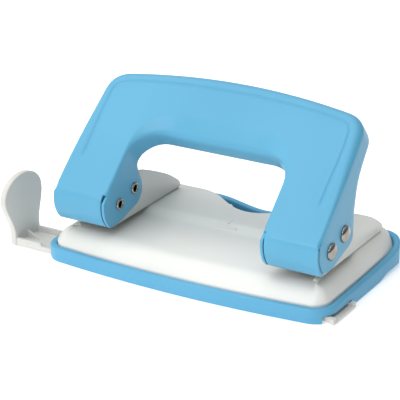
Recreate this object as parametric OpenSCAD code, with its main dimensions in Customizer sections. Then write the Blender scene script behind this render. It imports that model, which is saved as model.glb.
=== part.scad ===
// Two-hole paper punch. A pressed steel handle turns on two riveted brackets,
// drives two spring-loaded pins through a pressed steel base plate, and stands
// on a plastic chip tray that carries a sliding paper guide.
// X runs to the right, Y to the rear and Z up. The origin is the middle of the
// tray's footprint, on the table. Paper goes in from the front, at -Y.

/* [Punching] */
// Distance between the two punched holes
hole_spacing = 80; // [79:0.5:81]
// Diameter of a punched hole
hole_d = 6; // [5.5:0.1:6.2]
// Distance from the hole centres back to the paper stop
stop_depth = 11.8; // [11:0.1:12.5]
// Height of the slot that takes the paper
paper_slot = 1.8; // [1.5:0.1:2]

/* [Chip tray] */
// Width of the tray
tray_w = 109.2; // [108:0.2:111]
// Depth of the tray at its corners
tray_d = 62.3; // [61:0.1:64]
// Radius of the tray's corners
tray_corner_r = 8; // [6:0.5:10]
// How far the front edge bows out in the middle
front_bow = 2.6; // [1:0.2:3]
// Width of the tray's rim
rim_w = 2.3; // [2:0.1:2.6]
// Height of the rim along the front
rim_front_z = 5.2; // [5:0.1:5.6]
// Height of the rim at the rear corners
rim_rear_z = 10; // [9:0.5:10.5]
// Height of the rear rim in the middle, behind the plate's notch
rim_dip_z = 7.4; // [6.5:0.1:8]
// Thickness of the tray's floor
tray_floor = 1.4; // [1.2:0.1:1.8]

/* [Base plate] */
// Thickness of the pressed sheet
plate_t = 1; // [0.8:0.1:1.2]
// Height of the top in front of the paper stop
front_top_z = 10.7; // [10.5:0.1:11]
// Depth of the notch in the rear edge
notch_depth = 13; // [10:0.5:14]
// Half of the notch's width at the rear edge
notch_half_w = 24; // [20:1:26]

/* [Brackets] */
// Thickness of the bracket sheet
bracket_t = 1; // [0.8:0.1:1.2]
// Width over the bracket's two walls
bracket_w = 17.2; // [16.8:0.1:17.4]
// Where the front edge of the bracket's walls stands
bracket_front_y = -24; // [-24:0.1:-23]

/* [Handle] */
// Thickness of the handle sheet
sheet_t = 0.9; // [0.8:0.1:1]
// Width of one leg
leg_w = 20.6; // [20.4:0.1:21]
// How much narrower each side gets by the top corners
handle_taper = 0.8; // [0.2:0.1:1.6]
// Length of the face from the lower fold to the top edge
handle_len = 52.2; // [50:0.2:54]
// Angle of the face above the table
face_angle = 43; // [43:0.5:44]
// Depth of the rim round the top of the handle
handle_rim = 8.8; // [8.2:0.1:9]

/* [Rivets and pins] */
// Diameter of a handle rivet's shank
rivet_d = 3.3; // [3:0.1:3.4]
// Diameter of a handle rivet's domed head
rivet_head_d = 5.8; // [5.6:0.1:6.6]
// Distance from the pivot rivet to the drive rivet
lever_arm = 9.77; // [9.5:0.01:9.9]
// Angle of that lever above the table at rest
lever_angle = 15.9; // [15:0.1:17]
// Clearance of a running fit, on the radius
running = 0.05; // [0.02:0.01:0.08]

/* [Springs] */
// Diameter of the spring wire
wire_d = 0.5; // [0.4:0.1:0.5]
// Turns in a spring
spring_turns = 3.5; // [3:0.5:3.5]

/* [Paper guide] */
// Width of the guide bar
bar_w = 13.8; // [13:0.1:14.4]
// Distance from the middle of the punch to the paddle's inner face
paddle_x = 68; // [66:0.5:75]
// Height of the paddle
paddle_h = 26; // [22:0.5:28]

/* [Hidden] */

$fn = 48;
eps = 0.01;
reach = 200;

handle_blue = "#86c8ea";
tray_blue = "#78bce0";
plate_white = "#d5d6d2";
bracket_white = "#c8c9c3";
guide_white = "#e8e6e0";
nickel = "#c9c7c1";
spring_steel = "#9a9a98";

// Where the sides are
leg_x = hole_spacing / 2;
left = -1;
right = 1;

// The pivot, and the pin line that the drive rivet swings about
pivot = [-19.85, 21.34];
press_angle = 28;
drive = pivot + lever_arm * [cos(lever_angle), sin(lever_angle)];
drive_low_z = pivot.y + lever_arm * sin(lever_angle - press_angle);
drive_y_max = pivot.x + lever_arm;
pin_y = (drive.x + drive_y_max) / 2;
swing = (drive_y_max - drive.x) / 2;
travel = drive.y - drive_low_z;
rivet_r = rivet_d / 2;

// Tray and plate
half_w = tray_w / 2;
half_d = tray_d / 2;
ledge_w = 1.1;
ledge_z = 4.4;
plate_gap = 0.15;
seat_gap = 0.05;
plate_in = rim_w + plate_gap;
stop_y = pin_y + stop_depth;
rear_top_z = front_top_z + paper_slot;
plate_rear_y = half_d - plate_in;
bar_y = -20.5;
groove_z = 2.6;
groove_gap = 1.4;
groove_roof = 1.2;
tab_t = 0.5;
bracket_floor_y = -20.3;
bracket_rear_y = 22.6;
groove_front_y = bar_y - bar_w / 2 - groove_gap;
groove_rear_y = bar_y + bar_w / 2 + groove_gap;
side_lift = 1.5;
bar_wall_z = 3.4;
paddle_t = 2.3;
paddle_neck = 0.4;
paddle_widening = 3.6;
paddle_shift = 1.6;

// Handle
fold = [-28.6, 26.2];
side_r = 8;
window_r = 14;
window_top = 35.5;
window_half_w = leg_x - leg_w / 2;
handle_half_w = leg_x + leg_w / 2;
taper_from = 8;
taper_to = 36;
top_bow_r = 250;
corner_along = 40.6;
tongue_r = 10.75;
tongue_centre = [-18.55, 22.7];
tongue_in = 31.1;
tongue_out = 50.1;
tongue_gap = 0.35;
slit_top = 1.5;
band_low = [28, 8.8];
leg_reach = 24;
hem = 14;

// Rivets of the brackets
bracket_rivet_ys = [7.5, 17];
bracket_rivet_r = 1.6;
bracket_rivet_gap = 0.03;

// Pin, washer, clip and spring
pin_r = hole_d / 2;
pin_low_z = rear_top_z + 0.2;
pin_top_z = drive.y + rivet_r + 1.7;
spring_low_z = rear_top_z + bracket_t;
washer_z = 20.2;
washer_t = 0.5;
clip_t = 0.5;
clip_z = washer_z + washer_t;
coil_r = 4.1;

// Points along an arc, in degrees
function arc(centre, r, from, to, steps) =
    [for (i = [0:steps]) centre + r * [cos(from + (to - from) * i / steps), sin(from + (to - from) * i / steps)]];

// A rectangle with round corners and a front edge that bows out, drawn in by a margin
function bowed_outline(margin) =
    let (r = tray_corner_r - margin, cx = half_w - tray_corner_r, cy = half_d - tray_corner_r,
        lean = atan(2 * front_bow / cx), steps = 14)
    concat(arc([cx, cy], r, 0, 90, 8), arc([-cx, cy], r, 90, 180, 8),
        arc([-cx, -cy], r, 180, 270 - lean, 8),
        [for (i = [1:steps - 1]) let (x = cx * (2 * i / steps - 1))
            [x, -cy - r - front_bow * (1 - pow(x / cx, 2))]],
        arc([cx, -cy], r, 270 + lean, 360, 8));

// A point given along the handle's face and down from it, in Y and Z
function face_point(along, deep) =
    fold + along * [cos(face_angle), sin(face_angle)] + deep * [sin(face_angle), -cos(face_angle)];

// A profile in Y and Z, made into a sheet of thickness t that starts at x
module side_sheet(x, t) {
    translate([x, 0, 0]) rotate([90, 0, 90]) linear_extrude(t) children();
}

// A profile in X and Z, made into a block that runs along Y
module front_block(y_from, y_to) {
    translate([0, y_to, 0]) rotate([90, 0, 0]) linear_extrude(y_to - y_from) children();
}

// A cylinder along X, through both walls of the leg on one side
module cross_bore(side, y, z, r, half_len = 12) {
    translate([side * leg_x - half_len, y, z]) rotate([0, 90, 0]) cylinder(r = r, h = 2 * half_len);
}

// ---- Chip tray ----

// Everything above the rim, which is low at the front and the sides and high at the rear
module above_rim() {
    side_sheet(-reach / 2, reach) polygon(concat(
        [[-half_d - 10, rim_front_z], [-20, rim_front_z], [0, rim_front_z + 0.3], [18, rim_front_z + 1.1],
            [24, rim_front_z + 2.4], [28, rim_rear_z - 0.5]],
        [[half_d + 1, rim_rear_z], [half_d + 1, 30], [-half_d - 10, 30]]));
}

// The rear rim dips in the middle
module rim_dip() {
    front_block(half_d - 8, half_d + 5) polygon(concat(
        [for (i = [-8:8]) let (x = 20 * i / 8)
            [x, rim_dip_z + (rim_rear_z - rim_dip_z) * (1 - cos(180 * x / 20)) / 2]],
        [[20, 30], [-20, 30]]));
}

module guide_groove() {
    // Wide through the right-hand wall and under the floor, narrow in the left-hand wall as the bar's stop
    translate([-half_w + 3.4, groove_front_y, -1])
        cube([tray_w, groove_rear_y - groove_front_y, groove_z + 1]);
    translate([-half_w - 5, bar_y - bar_w / 2 - 0.3, -1]) cube([20, bar_w + 0.6, groove_z + 1]);
}

module chip_space() {
    // Deep behind the guide groove, shallow over it
    intersection() {
        translate([0, 0, tray_floor]) linear_extrude(30) polygon(bowed_outline(rim_w + ledge_w));
        translate([-reach / 2, groove_rear_y + groove_roof, 0]) cube([reach, reach, 40]);
    }
    translate([0, 0, groove_z + groove_roof]) linear_extrude(30) polygon(bowed_outline(rim_w + ledge_w));
}

module chip_tray() {
    color(tray_blue) {
        difference() {
            linear_extrude(rim_rear_z) polygon(bowed_outline(0));
            above_rim();
            rim_dip();
            translate([0, 0, ledge_z]) linear_extrude(30) polygon(bowed_outline(rim_w));
            chip_space();
            guide_groove();
            // Finger lifts under the rear of both sides
            for (side = [left, right]) side_sheet(side * (half_w - 0.9) - 2, 4)
                polygon([[8, -1], [9.5, 0.3], [15.5, side_lift], [24, side_lift], [half_d + 1, side_lift], [half_d + 1, -1]]);
        }
        // Tabs that keep the guide bar in its groove
        for (x = [-40, 0, 40]) translate([x - 3, groove_front_y - eps, 0])
            cube([6, groove_rear_y - groove_front_y + 2 * eps, tab_t]);
    }
}

// ---- Base plate ----

// The pressed form, drawn in by a margin on the top and all round
module pressed_form(margin) {
    top = plate_rear_y - margin;
    front_y = -half_d - front_bow + plate_in + margin;
    side_x = half_w - plate_in - margin;
    intersection() {
        linear_extrude(rear_top_z + 1) polygon(bowed_outline(plate_in + margin));
        side_sheet(-reach / 2, reach) polygon([[front_y - 1, -1], [front_y, 6 - margin],
            [front_y + 3, 9 - margin], [front_y + 5.5, front_top_z - 0.3 - margin],
            [front_y + 8, front_top_z - margin], [stop_y, front_top_z - margin],
            [stop_y + 0.3, rear_top_z - margin], [top - 2.5, rear_top_z - margin],
            [top - 0.7, rear_top_z - 0.9 - margin], [top, rear_top_z - 3 - margin], [top + 1, -1]]);
        front_block(-reach / 2, reach / 2) polygon([[side_x + 1, -1], [side_x, 6.2 - margin],
            [side_x - 1, 9 - margin], [side_x - 2.5, 11.2 - margin], [side_x - 5, rear_top_z - margin],
            [5 - side_x, rear_top_z - margin], [2.5 - side_x, 11.2 - margin],
            [1 - side_x, 9 - margin], [-side_x, 6.2 - margin], [-side_x - 1, -1]]);
    }
}

module rear_notch() {
    y_low = plate_rear_y - notch_depth;
    translate([0, 0, -1]) linear_extrude(40) polygon(concat(
        [for (i = [-12:12]) let (x = notch_half_w * i / 12)
            [x, y_low + (notch_depth + 0.1) * (1 - cos(180 * x / notch_half_w)) / 2]],
        [[notch_half_w, half_d + 5], [-notch_half_w, half_d + 5]]));
}

module base_plate() {
    color(plate_white) difference() {
        pressed_form(0);
        translate([0, 0, -eps]) pressed_form(plate_t);
        translate([-reach / 2, -reach / 2, -1]) cube([reach, reach, ledge_z + seat_gap + 1]);
        rear_notch();
        for (side = [left, right]) {
            translate([side * leg_x, pin_y, 0]) cylinder(r = pin_r + running, h = 30);
            for (y = bracket_rivet_ys)
                translate([side * leg_x, y, 0]) cylinder(r = bracket_rivet_r + bracket_rivet_gap, h = 30);
        }
    }
}

// ---- Brackets ----

module bracket_wall_profile() {
    polygon([[bracket_floor_y, rear_top_z], [bracket_front_y, rear_top_z + 6], [bracket_front_y, 25.2],
        [-22.6, 27.4], [-20.5, 28.4], [-14, 28.6], [-3, 27.8], [1.9, 26.2], [8.8, 23.3], [15.4, 20.1],
        [21.5, 16.2], [22.7, 14.9], [23, 13.8], [bracket_rear_y, rear_top_z]]);
}

module bracket(side) {
    color(bracket_white) difference() {
        union() {
            for (x = [-bracket_w / 2, bracket_w / 2 - bracket_t])
                side_sheet(side * leg_x + x, bracket_t) bracket_wall_profile();
            translate([side * leg_x - bracket_w / 2, bracket_floor_y, rear_top_z])
                cube([bracket_w, bracket_rear_y - bracket_floor_y, bracket_t]);
        }
        cross_bore(side, pivot.x, pivot.y, rivet_r + running);
        // Upright slots that the drive rivet moves down in
        for (z = [drive.y, drive_low_z]) cross_bore(side, pin_y, z, rivet_r + swing + 0.06);
        translate([side * leg_x - 12, pin_y - rivet_r - swing - 0.06, drive_low_z])
            cube([24, 2 * (rivet_r + swing + 0.06), travel]);
        translate([side * leg_x, pin_y, 0]) cylinder(r = pin_r + running, h = 20);
        for (y = bracket_rivet_ys)
            translate([side * leg_x, y, 0]) cylinder(r = bracket_rivet_r + bracket_rivet_gap, h = 20);
    }
}

module bracket_rivets(side) {
    low_z = rear_top_z - plate_t - eps;
    color(nickel) for (y = bracket_rivet_ys) translate([side * leg_x, y, 0]) {
        translate([0, 0, low_z - 0.8]) cylinder(r = 2.5, h = 0.8);
        translate([0, 0, low_z]) cylinder(r = bracket_rivet_r, h = plate_t + bracket_t + eps);
        translate([0, 0, rear_top_z + bracket_t]) intersection() {
            cylinder(r = 3, h = 1.2);
            translate([0, 0, 1.2 - 4.35]) sphere(r = 4.35);
        }
    }
}

// ---- Handle ----

module on_face() {
    translate([0, fold.x, fold.y]) rotate([face_angle, 0, 0]) children();
}

// Half of the face's width at a place along it: straight beside the brackets, then curving in
function face_half_w(along) =
    handle_half_w - handle_taper * pow(max(0, along - taper_from) / (taper_to - taper_from), 2);

// The face's outline, drawn in by a margin, with its lower edge at a given place along the face
function face_outline(margin, low) =
    let (bow_y = handle_len - top_bow_r, cy = corner_along, steps = 5,
        lean = atan(2 * handle_taper * (cy - taper_from) / pow(taper_to - taper_from, 2)),
        side_end = cy + side_r * sin(lean), cx = face_half_w(side_end) - side_r * cos(lean),
        high = atan((cy - bow_y) / cx), edge = side_r - margin)
    let (half = concat([[handle_half_w - margin, low]],
            [for (i = [0:steps - 1]) let (along = taper_from + (side_end - taper_from) * i / steps)
                [face_half_w(along) - margin, along]],
            arc([cx, cy], edge, lean, high, 8),
            arc([0, bow_y], top_bow_r - margin, high, 90, 6)))
    concat(half, [for (i = [len(half) - 1:-1:0]) [-half[i].x, half[i].y]]);

// The window between the legs, grown by a margin
function window_outline(margin, low) =
    let (cx = window_half_w - window_r, cy = window_top - window_r,
        half = concat([[window_half_w + margin, low]], arc([cx, cy], window_r + margin, 0, 90, 10)))
    concat(half, [for (i = [len(half) - 1:-1:0]) [-half[i].x, half[i].y]]);

// How far the outer walls reach below the face, in Y and Z. They stand just behind the tongues.
module outer_wall_profile() {
    polygon(concat(arc(tongue_centre, tongue_r - sheet_t - tongue_gap, 162, 229.7, 8),
        [for (p = [[-1.1, 14.2], [4.7, 17.3], [8.1, 19], [11, 20.5], [13.2, 20.9], [14.6, 20.3], [15.9, 19.1],
            [18.4, 16.8], [20.9, 14.5], [23.7, 12.7], [26.5, 11], [29.5, 9.8], [33, 9.1], [38, handle_rim],
            [60, handle_rim], [60, -1], [slit_top, -1], [slit_top, 1.2]]) face_point(p[0], p[1])]));
}

// The same for the walls round the window, which reach round to the front of the tongues
module inner_wall_profile() {
    polygon(concat(arc(tongue_centre, tongue_r, 160.6, 229.7, 8),
        [for (p = [[-1.1, 14.5], [4.7, 17.5], [8, 19.2], [10.3, 20], [12.6, 19.7], [14.6, 18.5], [16.2, 16.4],
            [17.4, 13], [18.2, 10.6], [19.6, 9.2], [22, 8.6], [60, 8.6], [60, -1], [-0.2, 0]])
            face_point(p[0], p[1])]));
}

module tongue_section() {
    intersection() {
        difference() {
            translate(tongue_centre) circle(r = tongue_r, $fn = 96);
            translate(tongue_centre) circle(r = tongue_r - sheet_t, $fn = 96);
        }
        polygon([tongue_centre, tongue_centre + 20 * [cos(161), sin(161)], tongue_centre + 22 * [-1, -0.35],
            tongue_centre + 20 * [cos(229.7), sin(229.7)]]);
    }
}

module handle() {
    color(handle_blue) difference() {
        union() {
            on_face() translate([0, 0, -sheet_t]) linear_extrude(sheet_t) difference() {
                polygon(face_outline(0, -0.4));
                polygon(window_outline(0, -1));
            }
            intersection() {
                on_face() translate([0, 0, -leg_reach]) linear_extrude(leg_reach) difference() {
                    polygon(face_outline(0, -hem));
                    polygon(face_outline(sheet_t, -hem - 1));
                }
                side_sheet(-reach / 2, reach) outer_wall_profile();
            }
            intersection() {
                on_face() translate([0, 0, -leg_reach]) linear_extrude(leg_reach) difference() {
                    polygon(window_outline(sheet_t, -hem));
                    polygon(window_outline(0, -hem - 1));
                    // The top of the window is a soft band instead of a wall
                    translate([-window_half_w + 5, 30]) square([2 * window_half_w - 10, 20]);
                }
                side_sheet(-reach / 2, reach) inner_wall_profile();
            }
            // Soft band that rolls in at the top of the window
            intersection() {
                side_sheet(-window_half_w, 2 * window_half_w)
                    polygon([face_point(window_top + 1, 0), face_point(window_top - 0.2, 0),
                        face_point(band_low.x, band_low.y), face_point(band_low.x + 1.2, band_low.y)]);
                on_face() translate([0, 0, -leg_reach]) linear_extrude(leg_reach + 1)
                    polygon(window_outline(sheet_t, 20));
            }
            for (side = [left, right])
                side_sheet(side > 0 ? tongue_in : -tongue_out, tongue_out - tongue_in) tongue_section();
        }
        for (side = [left, right]) {
            cross_bore(side, pivot.x, pivot.y, rivet_r);
            cross_bore(side, drive.x, drive.y, rivet_r);
        }
    }
}

// ---- Rivets of the handle ----

// Domed head on the leg's outer side, hollow rolled end on its inner side
module handle_rivet(side, at) {
    head_h = 1.5;
    dome_r = (pow(rivet_head_d / 2, 2) + head_h * head_h) / (2 * head_h);
    shank = leg_w + 0.7;
    color(nickel) translate([side * (leg_x - leg_w / 2), at.x, at.y]) rotate([0, side * 90, 0]) difference() {
        union() {
            translate([0, 0, -0.7]) cylinder(r = rivet_r, h = shank);
            translate([0, 0, -0.7]) cylinder(r = rivet_r + 0.45, h = 0.7);
            translate([0, 0, leg_w]) intersection() {
                cylinder(r = rivet_head_d / 2, h = head_h);
                translate([0, 0, head_h - dome_r]) sphere(r = dome_r);
            }
        }
        translate([0, 0, -1]) cylinder(r = 1.2, h = 6);
    }
}

// ---- Pins, washers, clips and springs ----

module punch_pin(side) {
    slot_r = rivet_r + running;
    color(nickel) difference() {
        translate([side * leg_x, pin_y, pin_low_z]) cylinder(r = pin_r, h = pin_top_z - pin_low_z);
        // Cross slot for the drive rivet
        for (y = [-swing, swing]) cross_bore(side, pin_y + y, drive.y, slot_r);
        translate([side * leg_x - 5, pin_y - swing, drive.y - slot_r]) cube([10, 2 * swing, 2 * slot_r]);
        // Groove for the retaining clip
        translate([side * leg_x, pin_y, clip_z]) difference() {
            cylinder(r = pin_r + 1, h = clip_t);
            translate([0, 0, -1]) cylinder(r = pin_r - 0.4, h = clip_t + 2);
        }
        // Hollow-ground cutting end
        cross_bore(side, pin_y, pin_low_z - 5.2, 6);
    }
}

module spring_washer(side) {
    color(nickel) translate([side * leg_x, pin_y, washer_z]) difference() {
        cylinder(r = 5, h = washer_t);
        translate([0, 0, -1]) cylinder(r = pin_r + running, h = washer_t + 2);
    }
}

module retaining_clip(side) {
    color(spring_steel) translate([side * leg_x, pin_y, clip_z]) difference() {
        cylinder(r = 4.6, h = clip_t);
        translate([0, 0, -1]) cylinder(r = pin_r - 0.4, h = clip_t + 2);
        translate([-2, 0, -1]) cube([4, 10, clip_t + 2]);
    }
}

// A round wire wound on a helix, with its rings joined in order
module coil(r, wire_r, h, turns) {
    sides = 8;
    rings = 14 * turns;
    pts = [for (i = [0:rings]) let (turn = 360 * turns * i / rings, z = wire_r + (h - 2 * wire_r) * i / rings)
        for (k = [0:sides - 1]) let (a = 360 * k / sides, out = r + wire_r * cos(a))
            [out * cos(turn), out * sin(turn), z + wire_r * sin(a)]];
    polyhedron(points = pts, faces = concat(
        [[for (k = [0:sides - 1]) k]],
        [for (i = [0:rings - 1]) for (k = [0:sides - 1]) let (n = (k + 1) % sides)
            [i * sides + k, (i + 1) * sides + k, (i + 1) * sides + n, i * sides + n]],
        [[for (k = [sides - 1:-1:0]) rings * sides + k]]));
}

module spring(side) {
    color(spring_steel) translate([side * leg_x, pin_y, spring_low_z + 0.03])
        coil(coil_r, wire_d / 2, washer_z - spring_low_z - 0.06, spring_turns);
}

// ---- Paper guide ----

// The paddle widens above a straight neck and ends in a round top, in Y and Z
function paddle_half_w(z) =
    let (t = min(1, max(0, (z - 5) / 13))) bar_w / 2 + paddle_neck + paddle_widening * t * t * (3 - 2 * t);
function paddle_mid(z) = bar_y - paddle_shift * min(1, max(0, (z - 5) / 13));

module guide_bar() {
    low_z = tab_t + 0.1;
    wide_z = 18;
    half = paddle_half_w(wide_z);
    end_x = half_w + 1.7;
    heights = [for (i = [0:12]) low_z + (wide_z - low_z) * i / 12];
    color(guide_white) {
        translate([-paddle_x - eps, bar_y - bar_w / 2, low_z]) cube([paddle_x + end_x + eps, bar_w, 0.9]);
        // Side walls, tall beside the paddle and low where they enter the tray
        for (y = [bar_y - bar_w / 2, bar_y + bar_w / 2 - 1.2]) front_block(y, y + 1.2)
            polygon([[-paddle_x - eps, low_z], [-paddle_x - eps, bar_wall_z], [-half_w - 3.6, bar_wall_z],
                [-half_w - 2.7, 2.3], [end_x - 1.5, 2.3], [end_x - 1.5, low_z]]);
        side_sheet(-paddle_x - paddle_t, paddle_t) polygon(concat(
            [for (z = heights) [paddle_mid(z) + paddle_half_w(z), z]],
            [for (a = [10:10:170]) [paddle_mid(wide_z) + half * cos(a), wide_z + (paddle_h - wide_z) * sin(a)]],
            [for (i = [12:-1:0]) [paddle_mid(heights[i]) - paddle_half_w(heights[i]), heights[i]]]));
        // Gusset between the paddle and the floor
        front_block(bar_y - 0.6, bar_y + 0.6)
            polygon([[-paddle_x - eps, 1.2], [-paddle_x - eps, 4], [6 - paddle_x, 1.5], [6 - paddle_x, 1.2]]);
        // Barbs at the inner end, which stop against the tray's left-hand wall
        for (s = [left, right]) translate([end_x - 1.6, bar_y + s * (bar_w / 2 + 0.2) - 1, low_z]) cube([1.4, 2, 1.8]);
    }
}

base_plate();
bracket(left);  // left_bracket
bracket(right);  // right_bracket
bracket_rivets(left);  // left_bracket_rivets
bracket_rivets(right);  // right_bracket_rivets
spring(left);  // left_spring
spring(right);  // right_spring
handle();
handle_rivet(left, pivot);  // left_pivot_rivet
handle_rivet(right, pivot);  // right_pivot_rivet
handle_rivet(left, drive);  // left_drive_rivet
handle_rivet(right, drive);  // right_drive_rivet
punch_pin(left);  // left_punch_pin
punch_pin(right);  // right_punch_pin
spring_washer(left);  // left_spring_washer
spring_washer(right);  // right_spring_washer
retaining_clip(left);  // left_retaining_clip
retaining_clip(right);  // right_retaining_clip
chip_tray();
guide_bar();
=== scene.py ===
import math
import bmesh
import bpy
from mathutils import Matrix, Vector


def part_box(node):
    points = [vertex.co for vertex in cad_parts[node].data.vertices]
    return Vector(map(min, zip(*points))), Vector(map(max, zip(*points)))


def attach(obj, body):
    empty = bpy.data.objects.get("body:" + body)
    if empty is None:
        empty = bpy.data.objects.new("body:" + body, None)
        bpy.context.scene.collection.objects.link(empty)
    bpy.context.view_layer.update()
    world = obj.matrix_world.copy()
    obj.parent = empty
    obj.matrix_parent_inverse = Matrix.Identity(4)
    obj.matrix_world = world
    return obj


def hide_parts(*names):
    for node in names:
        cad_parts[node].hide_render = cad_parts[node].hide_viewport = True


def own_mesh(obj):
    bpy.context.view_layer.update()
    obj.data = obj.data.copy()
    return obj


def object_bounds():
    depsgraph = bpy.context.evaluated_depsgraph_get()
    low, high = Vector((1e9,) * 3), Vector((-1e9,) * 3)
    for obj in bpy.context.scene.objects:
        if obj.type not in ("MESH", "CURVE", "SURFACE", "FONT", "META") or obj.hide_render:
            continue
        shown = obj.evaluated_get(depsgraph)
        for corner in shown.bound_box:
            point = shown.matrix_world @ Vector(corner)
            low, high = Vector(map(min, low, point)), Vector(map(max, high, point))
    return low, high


# Two-hole paper punch: pressed and painted steel on a moulded chip tray.
# Pieces are shaped in millimetres and turned to metres when they are finished.

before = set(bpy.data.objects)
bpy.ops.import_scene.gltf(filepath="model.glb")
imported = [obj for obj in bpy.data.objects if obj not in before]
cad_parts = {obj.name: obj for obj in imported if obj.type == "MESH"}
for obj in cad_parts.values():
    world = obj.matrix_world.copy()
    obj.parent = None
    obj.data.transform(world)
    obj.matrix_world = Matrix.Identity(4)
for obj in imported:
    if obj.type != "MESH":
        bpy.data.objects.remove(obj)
cadLow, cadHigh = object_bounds()
metresPerMm = 0.001


def startClean():
    if bpy.context.object and bpy.context.object.mode != "OBJECT":
        bpy.ops.object.mode_set(mode="OBJECT")
    bpy.ops.object.select_all(action="DESELECT")


def makeActive(piece):
    startClean()
    piece.select_set(True)
    bpy.context.view_layer.objects.active = piece


def boxInMm(node):
    low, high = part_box(node)
    return low / metresPerMm, high / metresPerMm


def smoothStep(low, high, value):
    share = min(1.0, max(0.0, (value - low) / (high - low)))
    return share * share * (3 - 2 * share)


def mix(a, b, share):
    return a + (b - a) * share


def alongCurve(points, x):
    # Smooth height at x of a curve through a few points, flat beyond its ends
    if x <= points[0][0]:
        return points[0][1]
    if x >= points[-1][0]:
        return points[-1][1]
    slopes = [(b[1] - a[1]) / (b[0] - a[0]) for a, b in zip(points, points[1:])]
    inner = [0.0 if p * q <= 0 else 2 * p * q / (p + q) for p, q in zip(slopes, slopes[1:])]
    tangents = [slopes[0]] + inner + [slopes[-1]]
    i = max(k for k in range(len(points) - 1) if points[k][0] <= x)
    (x0, y0), (x1, y1) = points[i], points[i + 1]
    span = x1 - x0
    t = (x - x0) / span
    return ((2 * t**3 - 3 * t**2 + 1) * y0 + (t**3 - 2 * t**2 + t) * span * tangents[i]
            + (3 * t**2 - 2 * t**3) * y1 + (t**3 - t**2) * span * tangents[i + 1])


def applyModifier(piece, kind, **settings):
    makeActive(piece)
    modifier = piece.modifiers.new(kind.title(), kind)
    for name, value in settings.items():
        setattr(modifier, name, value)
    bpy.ops.object.modifier_apply(modifier=modifier.name)


def cutAway(piece, cutter, operation="DIFFERENCE", crossesItself=False):
    applyModifier(piece, "BOOLEAN", object=cutter, operation=operation, solver="EXACT",
                  use_self=crossesItself)
    bpy.data.objects.remove(cutter)


def breakEdges(piece, width, segments=2, sharperThan=60):
    # Rounds every edge that turns by more than so many degrees
    applyModifier(piece, "BEVEL", width=width, segments=segments, limit_method="ANGLE",
                  angle_limit=math.radians(sharperThan))


def deleteFaces(piece, test):
    makeActive(piece)
    bpy.ops.object.mode_set(mode="EDIT")
    bpy.ops.mesh.select_mode(type="FACE")
    bpy.ops.mesh.select_all(action="DESELECT")
    mesh = bmesh.from_edit_mesh(piece.data)
    for face in mesh.faces:
        face.select_set(test(face))
    mesh.select_flush_mode()
    bmesh.update_edit_mesh(piece.data)
    bpy.ops.mesh.delete(type="FACE")
    bpy.ops.object.mode_set(mode="OBJECT")


def onWholeMesh(piece, *steps):
    # Each step is an edit mode operator and its settings, run on everything
    makeActive(piece)
    bpy.ops.object.mode_set(mode="EDIT")
    bpy.ops.mesh.select_all(action="SELECT")
    for operator, settings in steps:
        operator(**settings)
    bpy.ops.object.mode_set(mode="OBJECT")


def turnOutwards(piece):
    onWholeMesh(piece, (bpy.ops.mesh.normals_make_consistent, {"inside": False}))


def turnUpwards(sheet):
    # A pressed sheet's outside is the side that faces up at its top
    topFace = max(sheet.data.polygons, key=lambda face: face.center.z)
    if topFace.normal.z < 0:
        onWholeMesh(sheet, (bpy.ops.mesh.flip_normals, {}))


def newBox(low, high):
    startClean()
    low, high = Vector(low), Vector(high)
    bpy.ops.mesh.primitive_cube_add(size=1, location=(low + high) / 2, scale=high - low)
    box = bpy.context.object
    bpy.ops.object.transform_apply(location=True, rotation=True, scale=True)
    return box


def newRod(start, end, radius, sides=48):
    # A cylinder from one point to another
    startClean()
    start, end = Vector(start), Vector(end)
    way = end - start
    bpy.ops.mesh.primitive_cylinder_add(radius=radius, depth=way.length, vertices=sides,
                                        location=(start + end) / 2)
    rod = bpy.context.object
    rod.rotation_mode = "QUATERNION"
    rod.rotation_quaternion = way.to_track_quat("Z", "Y")
    bpy.ops.object.transform_apply(location=True, rotation=True, scale=True)
    return rod


def joinPieces(pieces):
    startClean()
    for piece in pieces:
        piece.select_set(True)
    bpy.context.view_layer.objects.active = pieces[0]
    if len(pieces) > 1:
        bpy.ops.object.join()
    return pieces[0]


def ringStack(rings, openStart=False):
    # Raised from a filled circle, extruded ring by ring; every ring has the same number of points
    startClean()
    bpy.ops.mesh.primitive_circle_add(vertices=len(rings[0]), radius=1, fill_type="NGON")
    stack = bpy.context.object
    bpy.ops.object.mode_set(mode="EDIT")
    bpy.ops.mesh.select_mode(type="FACE")
    bpy.ops.mesh.select_all(action="SELECT")
    mesh = bmesh.from_edit_mesh(stack.data)
    mesh.verts.ensure_lookup_table()
    for vertex, place in zip(mesh.verts, rings[0]):
        vertex.co = place
    order = {vertex.co[:]: i for i, vertex in enumerate(mesh.verts)}
    for ring in rings[1:]:
        bmesh.update_edit_mesh(stack.data)
        bpy.ops.mesh.extrude_region_move()
        mesh = bmesh.from_edit_mesh(stack.data)
        moved = [vertex for vertex in mesh.verts if vertex.select]
        numbers = [order[vertex.co[:]] for vertex in moved]
        for vertex, number in zip(moved, numbers):
            vertex.co = ring[number]
        order = {vertex.co[:]: number for vertex, number in zip(moved, numbers)}
    bmesh.update_edit_mesh(stack.data)
    if openStart:
        corner = Vector(rings[0][0])
        for face in mesh.faces:
            atStart = any((vertex.co - corner).length < 0.0001 for vertex in face.verts)
            face.select_set(len(face.verts) == len(rings[0]) and atStart)
        bmesh.update_edit_mesh(stack.data)
        bpy.ops.mesh.delete(type="FACE")
    bpy.ops.mesh.select_all(action="SELECT")
    bpy.ops.mesh.remove_doubles(threshold=0.0005)
    bpy.ops.mesh.normals_make_consistent(inside=False)
    bpy.ops.object.mode_set(mode="OBJECT")
    return stack


def prism(outline, low, high, axis):
    # A flat outline pulled out along one axis
    if axis == "X":
        return ringStack([[(x, a, b) for a, b in outline] for x in (low, high)])
    return ringStack([[(a, y, b) for a, b in outline] for y in (low, high)])


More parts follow.
